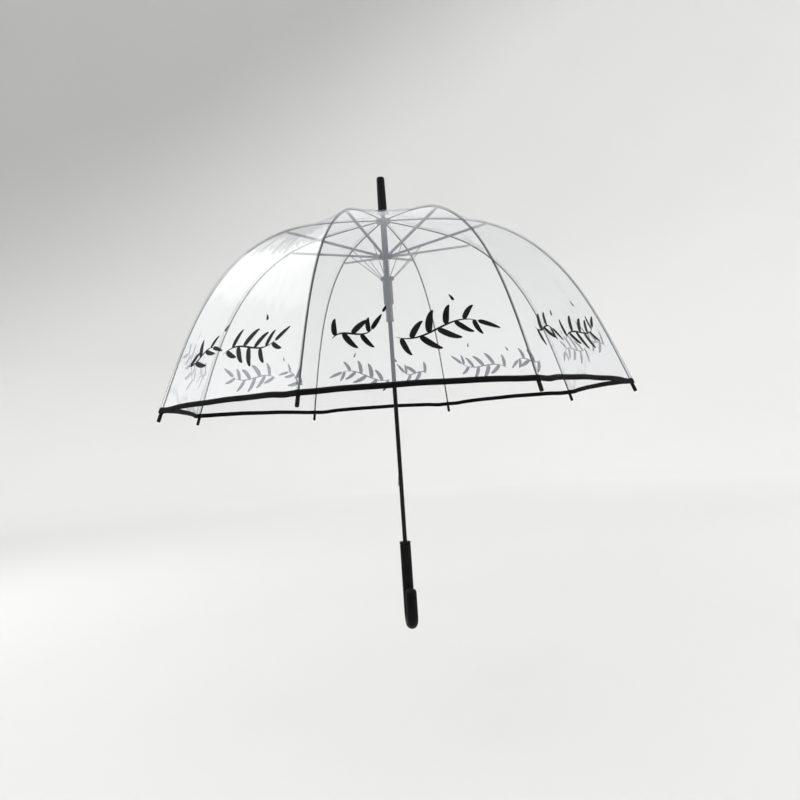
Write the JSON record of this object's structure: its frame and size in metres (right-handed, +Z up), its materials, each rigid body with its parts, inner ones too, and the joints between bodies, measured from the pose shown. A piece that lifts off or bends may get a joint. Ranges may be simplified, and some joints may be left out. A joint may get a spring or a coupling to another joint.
{
  "type": "clear dome stick umbrella",
  "caption": "Stick umbrella with a deep clear dome canopy, black hem tape, folding rib frame, sliding runners, long ferrule and hooked handle, standing open.",
  "frame": {"origin": "on the shaft's axis at the height of the crook's lowest point, which is the middle of the box's bottom face", "axes": "+Z up along the shaft to the ferrule, -Y from the shaft to the crook's free end, ribs at 22.5 degrees and every 45 degrees after, so canopy panels face +X and +Y"},
  "size_m": [0.7938, 0.7938, 0.839],
  "materials": {
    "clear_film": "clear flexible film",
    "hem_tape": "matt woven tape",
    "rib_rod": "satin black",
    "stretcher_channel": "satin dark grey",
    "strut_wire": "dark wire",
    "tip_plastic": "black",
    "shaft_paint": "gloss black",
    "ferrule_plastic": "black",
    "washer_plastic": "black",
    "notch_plastic": "black",
    "upper_runner_plastic": "black",
    "lower_runner_plastic": "black",
    "spring_wire": "bright wire",
    "handle_soft": "soft black",
    "ring_plastic": "black",
    "catch_steel": "bright"
  },
  "bodies": {
    "frame": {"shaft": "shaft_paint", "ferrule": "ferrule_plastic", "canopy_washer": "washer_plastic", "top_notch": "notch_plastic", "canopy": "clear_film", "hem_band": "hem_tape", "handle": "handle_soft", "handle_ring": "ring_plastic"},
    "rib_1": {"rib_arm_1": "rib_rod"},
    "rib_middle_1": {"rib_mid_1": "rib_rod"},
    "rib_outer_1": {"rib_end_1": "rib_rod", "tip_1": "tip_plastic"},
    "stretch_1": {"stretcher_1": "stretcher_channel"},
    "prop_1": {"strut_1": "strut_wire"},
    "rib_2": {"rib_arm_2": "rib_rod"},
    "rib_middle_2": {"rib_mid_2": "rib_rod"},
    "rib_outer_2": {"rib_end_2": "rib_rod", "tip_2": "tip_plastic"},
    "stretch_2": {"stretcher_2": "stretcher_channel"},
    "prop_2": {"strut_2": "strut_wire"},
    "rib_3": {"rib_arm_3": "rib_rod"},
    "rib_middle_3": {"rib_mid_3": "rib_rod"},
    "rib_outer_3": {"rib_end_3": "rib_rod", "tip_3": "tip_plastic"},
    "stretch_3": {"stretcher_3": "stretcher_channel"},
    "prop_3": {"strut_3": "strut_wire"},
    "rib_4": {"rib_arm_4": "rib_rod"},
    "rib_middle_4": {"rib_mid_4": "rib_rod"},
    "rib_outer_4": {"rib_end_4": "rib_rod", "tip_4": "tip_plastic"},
    "stretch_4": {"stretcher_4": "stretcher_channel"},
    "prop_4": {"strut_4": "strut_wire"},
    "rib_5": {"rib_arm_5": "rib_rod"},
    "rib_middle_5": {"rib_mid_5": "rib_rod"},
    "rib_outer_5": {"rib_end_5": "rib_rod", "tip_5": "tip_plastic"},
    "stretch_5": {"stretcher_5": "stretcher_channel"},
    "prop_5": {"strut_5": "strut_wire"},
    "rib_6": {"rib_arm_6": "rib_rod"},
    "rib_middle_6": {"rib_mid_6": "rib_rod"},
    "rib_outer_6": {"rib_end_6": "rib_rod", "tip_6": "tip_plastic"},
    "stretch_6": {"stretcher_6": "stretcher_channel"},
    "prop_6": {"strut_6": "strut_wire"},
    "rib_7": {"rib_arm_7": "rib_rod"},
    "rib_middle_7": {"rib_mid_7": "rib_rod"},
    "rib_outer_7": {"rib_end_7": "rib_rod", "tip_7": "tip_plastic"},
    "stretch_7": {"stretcher_7": "stretcher_channel"},
    "prop_7": {"strut_7": "strut_wire"},
    "rib_8": {"rib_arm_8": "rib_rod"},
    "rib_middle_8": {"rib_mid_8": "rib_rod"},
    "rib_outer_8": {"rib_end_8": "rib_rod", "tip_8": "tip_plastic"},
    "stretch_8": {"stretcher_8": "stretcher_channel"},
    "prop_8": {"strut_8": "strut_wire"},
    "upper_slider": {"upper_runner": "upper_runner_plastic"},
    "lower_slider": {"lower_runner": "lower_runner_plastic", "spring": "spring_wire"},
    "catch_leaf": {"catch": "catch_steel"}
  },
  "joints": [
    {"name": "rib_1_pivot", "type": "hinge", "parent": "frame", "child": "rib_1", "pos_m": [0.01016, 0.00421, 0.7546], "axis": [-0.3827, 0.9239, 0], "range_deg": [0, 79.64], "deforming": ["canopy", "hem_band"]},
    {"name": "stretcher_1_pivot", "type": "hinge", "parent": "rib_1", "child": "stretch_1", "pos_m": [0.1808, 0.07489, 0.72085], "axis": [-0.3827, 0.9239, 0], "range_deg": [-160.28, 0.5]},
    {"name": "rib_1_bend_inner", "type": "hinge", "parent": "rib_1", "child": "rib_middle_1", "pos_m": [0.1808, 0.07489, 0.72085], "axis": [-0.3827, 0.9239, 0], "range_deg": [-34.51, 0.5]},
    {"name": "rib_1_bend_outer", "type": "hinge", "parent": "rib_middle_1", "child": "rib_outer_1", "pos_m": [0.31489, 0.13043, 0.59144], "axis": [-0.3827, 0.9239, 0], "range_deg": [-20.55, 0.5]},
    {"name": "strut_1_pivot", "type": "hinge", "parent": "stretch_1", "child": "prop_1", "pos_m": [0.0656, 0.02717, 0.69807], "axis": [-0.3827, 0.9239, 0], "range_deg": [-0.5, 31.85]},
    {"name": "rib_2_pivot", "type": "hinge", "parent": "frame", "child": "rib_2", "pos_m": [0.00421, 0.01016, 0.7546], "axis": [-0.9239, 0.3827, 0], "range_deg": [-0.5, 80.14]},
    {"name": "stretcher_2_pivot", "type": "hinge", "parent": "rib_2", "child": "stretch_2", "pos_m": [0.07489, 0.1808, 0.72085], "axis": [-0.9239, 0.3827, 0], "range_deg": [-160.28, 0.5]},
    {"name": "rib_2_bend_inner", "type": "hinge", "parent": "rib_2", "child": "rib_middle_2", "pos_m": [0.07489, 0.1808, 0.72085], "axis": [-0.9239, 0.3827, 0], "range_deg": [-34.51, 0.5]},
    {"name": "rib_2_bend_outer", "type": "hinge", "parent": "rib_middle_2", "child": "rib_outer_2", "pos_m": [0.13043, 0.31489, 0.59144], "axis": [-0.9239, 0.3827, 0], "range_deg": [-20.55, 0.5]},
    {"name": "strut_2_pivot", "type": "hinge", "parent": "stretch_2", "child": "prop_2", "pos_m": [0.02717, 0.0656, 0.69807], "axis": [-0.9239, 0.3827, 0], "range_deg": [-0.5, 31.85]},
    {"name": "rib_3_pivot", "type": "hinge", "parent": "frame", "child": "rib_3", "pos_m": [-0.00421, 0.01016, 0.7546], "axis": [-0.9239, -0.3827, 0], "range_deg": [-0.5, 80.14]},
    {"name": "stretcher_3_pivot", "type": "hinge", "parent": "rib_3", "child": "stretch_3", "pos_m": [-0.07489, 0.1808, 0.72085], "axis": [-0.9239, -0.3827, 0], "range_deg": [-160.28, 0.5]},
    {"name": "rib_3_bend_inner", "type": "hinge", "parent": "rib_3", "child": "rib_middle_3", "pos_m": [-0.07489, 0.1808, 0.72085], "axis": [-0.9239, -0.3827, 0], "range_deg": [-34.51, 0.5]},
    {"name": "rib_3_bend_outer", "type": "hinge", "parent": "rib_middle_3", "child": "rib_outer_3", "pos_m": [-0.13043, 0.31489, 0.59144], "axis": [-0.9239, -0.3827, 0], "range_deg": [-20.55, 0.5]},
    {"name": "strut_3_pivot", "type": "hinge", "parent": "stretch_3", "child": "prop_3", "pos_m": [-0.02717, 0.0656, 0.69807], "axis": [-0.9239, -0.3827, 0], "range_deg": [-0.5, 31.85]},
    {"name": "rib_4_pivot", "type": "hinge", "parent": "frame", "child": "rib_4", "pos_m": [-0.01016, 0.00421, 0.7546], "axis": [-0.3827, -0.9239, 0], "range_deg": [-0.5, 80.14]},
    {"name": "stretcher_4_pivot", "type": "hinge", "parent": "rib_4", "child": "stretch_4", "pos_m": [-0.1808, 0.07489, 0.72085], "axis": [-0.3827, -0.9239, 0], "range_deg": [-160.28, 0.5]},
    {"name": "rib_4_bend_inner", "type": "hinge", "parent": "rib_4", "child": "rib_middle_4", "pos_m": [-0.1808, 0.07489, 0.72085], "axis": [-0.3827, -0.9239, 0], "range_deg": [-34.51, 0.5]},
    {"name": "rib_4_bend_outer", "type": "hinge", "parent": "rib_middle_4", "child": "rib_outer_4", "pos_m": [-0.31489, 0.13043, 0.59144], "axis": [-0.3827, -0.9239, 0], "range_deg": [-20.55, 0.5]},
    {"name": "strut_4_pivot", "type": "hinge", "parent": "stretch_4", "child": "prop_4", "pos_m": [-0.0656, 0.02717, 0.69807], "axis": [-0.3827, -0.9239, 0], "range_deg": [-0.5, 31.85]},
    {"name": "rib_5_pivot", "type": "hinge", "parent": "frame", "child": "rib_5", "pos_m": [-0.01016, -0.00421, 0.7546], "axis": [0.3827, -0.9239, 0], "range_deg": [-0.5, 80.14]},
    {"name": "stretcher_5_pivot", "type": "hinge", "parent": "rib_5", "child": "stretch_5", "pos_m": [-0.1808, -0.07489, 0.72085], "axis": [0.3827, -0.9239, 0], "range_deg": [-160.28, 0.5]},
    {"name": "rib_5_bend_inner", "type": "hinge", "parent": "rib_5", "child": "rib_middle_5", "pos_m": [-0.1808, -0.07489, 0.72085], "axis": [0.3827, -0.9239, 0], "range_deg": [-34.51, 0.5]},
    {"name": "rib_5_bend_outer", "type": "hinge", "parent": "rib_middle_5", "child": "rib_outer_5", "pos_m": [-0.31489, -0.13043, 0.59144], "axis": [0.3827, -0.9239, 0], "range_deg": [-20.55, 0.5]},
    {"name": "strut_5_pivot", "type": "hinge", "parent": "stretch_5", "child": "prop_5", "pos_m": [-0.0656, -0.02717, 0.69807], "axis": [0.3827, -0.9239, 0], "range_deg": [-0.5, 31.85]},
    {"name": "rib_6_pivot", "type": "hinge", "parent": "frame", "child": "rib_6", "pos_m": [-0.00421, -0.01016, 0.7546], "axis": [0.9239, -0.3827, 0], "range_deg": [-0.5, 80.14]},
    {"name": "stretcher_6_pivot", "type": "hinge", "parent": "rib_6", "child": "stretch_6", "pos_m": [-0.07489, -0.1808, 0.72085], "axis": [0.9239, -0.3827, 0], "range_deg": [-160.28, 0.5]},
    {"name": "rib_6_bend_inner", "type": "hinge", "parent": "rib_6", "child": "rib_middle_6", "pos_m": [-0.07489, -0.1808, 0.72085], "axis": [0.9239, -0.3827, 0], "range_deg": [-34.51, 0.5]},
    {"name": "rib_6_bend_outer", "type": "hinge", "parent": "rib_middle_6", "child": "rib_outer_6", "pos_m": [-0.13043, -0.31489, 0.59144], "axis": [0.9239, -0.3827, 0], "range_deg": [-20.55, 0.5]},
    {"name": "strut_6_pivot", "type": "hinge", "parent": "stretch_6", "child": "prop_6", "pos_m": [-0.02717, -0.0656, 0.69807], "axis": [0.9239, -0.3827, 0], "range_deg": [-0.5, 31.85]},
    {"name": "rib_7_pivot", "type": "hinge", "parent": "frame", "child": "rib_7", "pos_m": [0.00421, -0.01016, 0.7546], "axis": [0.9239, 0.3827, 0], "range_deg": [-0.5, 80.14]},
    {"name": "stretcher_7_pivot", "type": "hinge", "parent": "rib_7", "child": "stretch_7", "pos_m": [0.07489, -0.1808, 0.72085], "axis": [0.9239, 0.3827, 0], "range_deg": [-160.28, 0.5]},
    {"name": "rib_7_bend_inner", "type": "hinge", "parent": "rib_7", "child": "rib_middle_7", "pos_m": [0.07489, -0.1808, 0.72085], "axis": [0.9239, 0.3827, 0], "range_deg": [-34.51, 0.5]},
    {"name": "rib_7_bend_outer", "type": "hinge", "parent": "rib_middle_7", "child": "rib_outer_7", "pos_m": [0.13043, -0.31489, 0.59144], "axis": [0.9239, 0.3827, 0], "range_deg": [-20.55, 0.5]},
    {"name": "strut_7_pivot", "type": "hinge", "parent": "stretch_7", "child": "prop_7", "pos_m": [0.02717, -0.0656, 0.69807], "axis": [0.9239, 0.3827, 0], "range_deg": [-0.5, 31.85]},
    {"name": "rib_8_pivot", "type": "hinge", "parent": "frame", "child": "rib_8", "pos_m": [0.01016, -0.00421, 0.7546], "axis": [0.3827, 0.9239, 0], "range_deg": [-0.5, 80.14]},
    {"name": "stretcher_8_pivot", "type": "hinge", "parent": "rib_8", "child": "stretch_8", "pos_m": [0.1808, -0.07489, 0.72085], "axis": [0.3827, 0.9239, 0], "range_deg": [-160.28, 0.5]},
    {"name": "rib_8_bend_inner", "type": "hinge", "parent": "rib_8", "child": "rib_middle_8", "pos_m": [0.1808, -0.07489, 0.72085], "axis": [0.3827, 0.9239, 0], "range_deg": [-34.51, 0.5]},
    {"name": "rib_8_bend_outer", "type": "hinge", "parent": "rib_middle_8", "child": "rib_outer_8", "pos_m": [0.31489, -0.13043, 0.59144], "axis": [0.3827, 0.9239, 0], "range_deg": [-20.55, 0.5]},
    {"name": "strut_8_pivot", "type": "hinge", "parent": "stretch_8", "child": "prop_8", "pos_m": [0.0656, -0.02717, 0.69807], "axis": [0.3827, 0.9239, 0], "range_deg": [-0.5, 31.85]},
    {"name": "upper_runner_pivot", "type": "hinge", "parent": "stretch_1", "child": "upper_slider", "pos_m": [0.01016, 0.00421, 0.6871], "axis": [-0.3827, 0.9239, 0], "range_deg": [-0.5, 80.14]},
    {"name": "lower_runner_slide", "type": "slide", "parent": "upper_slider", "child": "lower_slider", "axis": [0, 0, 1], "range_m": [-0.0003, 0.02343], "deforming": ["spring"]},
    {"name": "catch_press", "type": "slide", "parent": "frame", "child": "catch_leaf", "axis": [1, 0, 0], "range_m": [0, 0.0018]}
  ],
  "couplings": [
    {"joint": "stretcher_1_pivot", "follows": "rib_1_pivot", "ratio": -2},
    {"joint": "rib_1_bend_inner", "follows": "rib_1_pivot", "ratio": -0.4271},
    {"joint": "rib_1_bend_outer", "follows": "rib_1_pivot", "ratio": -0.2518},
    {"joint": "strut_1_pivot", "follows": "rib_1_pivot", "ratio": 0.3936},
    {"joint": "rib_2_pivot", "follows": "rib_1_pivot", "ratio": 1},
    {"joint": "stretcher_2_pivot", "follows": "rib_1_pivot", "ratio": -2},
    {"joint": "rib_2_bend_inner", "follows": "rib_1_pivot", "ratio": -0.4271},
    {"joint": "rib_2_bend_outer", "follows": "rib_1_pivot", "ratio": -0.2518},
    {"joint": "strut_2_pivot", "follows": "rib_1_pivot", "ratio": 0.3936},
    {"joint": "rib_3_pivot", "follows": "rib_1_pivot", "ratio": 1},
    {"joint": "stretcher_3_pivot", "follows": "rib_1_pivot", "ratio": -2},
    {"joint": "rib_3_bend_inner", "follows": "rib_1_pivot", "ratio": -0.4271},
    {"joint": "rib_3_bend_outer", "follows": "rib_1_pivot", "ratio": -0.2518},
    {"joint": "strut_3_pivot", "follows": "rib_1_pivot", "ratio": 0.3936},
    {"joint": "rib_4_pivot", "follows": "rib_1_pivot", "ratio": 1},
    {"joint": "stretcher_4_pivot", "follows": "rib_1_pivot", "ratio": -2},
    {"joint": "rib_4_bend_inner", "follows": "rib_1_pivot", "ratio": -0.4271},
    {"joint": "rib_4_bend_outer", "follows": "rib_1_pivot", "ratio": -0.2518},
    {"joint": "strut_4_pivot", "follows": "rib_1_pivot", "ratio": 0.3936},
    {"joint": "rib_5_pivot", "follows": "rib_1_pivot", "ratio": 1},
    {"joint": "stretcher_5_pivot", "follows": "rib_1_pivot", "ratio": -2},
    {"joint": "rib_5_bend_inner", "follows": "rib_1_pivot", "ratio": -0.4271},
    {"joint": "rib_5_bend_outer", "follows": "rib_1_pivot", "ratio": -0.2518},
    {"joint": "strut_5_pivot", "follows": "rib_1_pivot", "ratio": 0.3936},
    {"joint": "rib_6_pivot", "follows": "rib_1_pivot", "ratio": 1},
    {"joint": "stretcher_6_pivot", "follows": "rib_1_pivot", "ratio": -2},
    {"joint": "rib_6_bend_inner", "follows": "rib_1_pivot", "ratio": -0.4271},
    {"joint": "rib_6_bend_outer", "follows": "rib_1_pivot", "ratio": -0.2518},
    {"joint": "strut_6_pivot", "follows": "rib_1_pivot", "ratio": 0.3936},
    {"joint": "rib_7_pivot", "follows": "rib_1_pivot", "ratio": 1},
    {"joint": "stretcher_7_pivot", "follows": "rib_1_pivot", "ratio": -2},
    {"joint": "rib_7_bend_inner", "follows": "rib_1_pivot", "ratio": -0.4271},
    {"joint": "rib_7_bend_outer", "follows": "rib_1_pivot", "ratio": -0.2518},
    {"joint": "strut_7_pivot", "follows": "rib_1_pivot", "ratio": 0.3936},
    {"joint": "rib_8_pivot", "follows": "rib_1_pivot", "ratio": 1},
    {"joint": "stretcher_8_pivot", "follows": "rib_1_pivot", "ratio": -2},
    {"joint": "rib_8_bend_inner", "follows": "rib_1_pivot", "ratio": -0.4271},
    {"joint": "rib_8_bend_outer", "follows": "rib_1_pivot", "ratio": -0.2518},
    {"joint": "strut_8_pivot", "follows": "rib_1_pivot", "ratio": 0.3936},
    {"joint": "upper_runner_pivot", "follows": "rib_1_pivot", "ratio": 1},
    {"joint": "lower_runner_slide", "follows": "rib_1_pivot", "m_per_rad": 0.01664}
  ]
}
